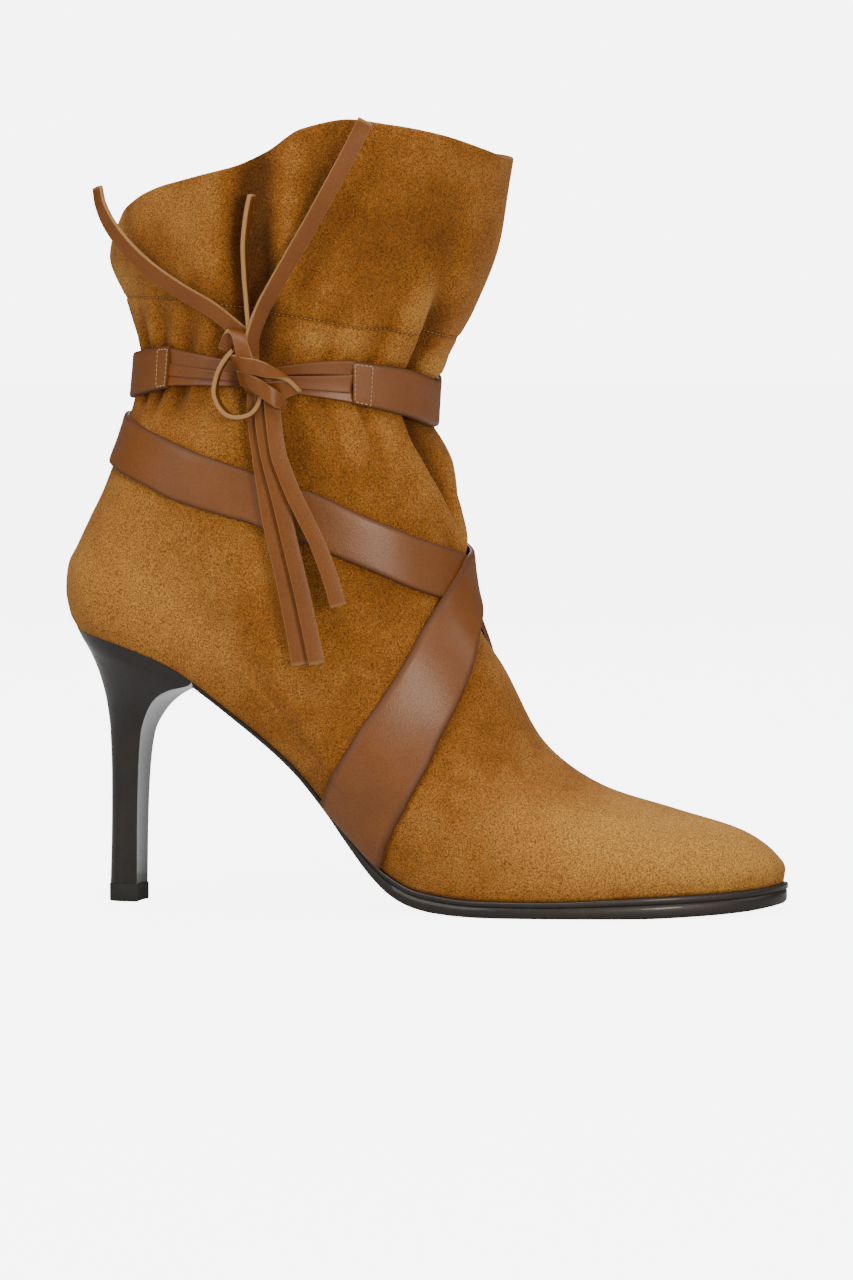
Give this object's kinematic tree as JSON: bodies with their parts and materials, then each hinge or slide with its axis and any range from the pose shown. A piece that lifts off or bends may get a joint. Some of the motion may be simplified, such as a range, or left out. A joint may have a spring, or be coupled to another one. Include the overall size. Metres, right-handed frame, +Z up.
{
  "type": "heeled ankle boot",
  "caption": "Suede ankle boot with a slim high heel, almond toe, gathered collar, crossed leather straps over the instep and a knotted leather waist tie, to be worn on the right foot.",
  "frame": {"origin": "on the floor under the middle of the boot's bounding box, tie ends and knot not counted", "axes": "+X towards the toe, +Y towards the inner side of the foot, +Z up"},
  "size_m": [0.2434, 0.0922, 0.2587],
  "materials": {
    "suede": "matte suede nap",
    "strap_leather": "smooth, soft gloss",
    "sole_leather": "dark stained edge, soft gloss",
    "insole_leather": "matte lining leather",
    "heel_block": "stacked look, soft gloss",
    "lift_rubber": "matte"
  },
  "bodies": {
    "root": {"upper": "suede", "insole": "insole_leather", "outsole": "sole_leather", "heel": "heel_block", "top_lift": "lift_rubber", "cross_strap": "strap_leather", "waist_belt": "strap_leather", "tie_strips_left": "strap_leather", "tie_strips_right": "strap_leather", "tie_knot": "strap_leather", "tie_loop": "strap_leather", "tie_end_up_front": "strap_leather", "tie_end_up_middle": "strap_leather", "tie_end_up_back": "strap_leather", "tie_end_down_back": "strap_leather", "tie_end_down_middle": "strap_leather", "tie_end_down_front": "strap_leather"}
  },
  "joints": []
}
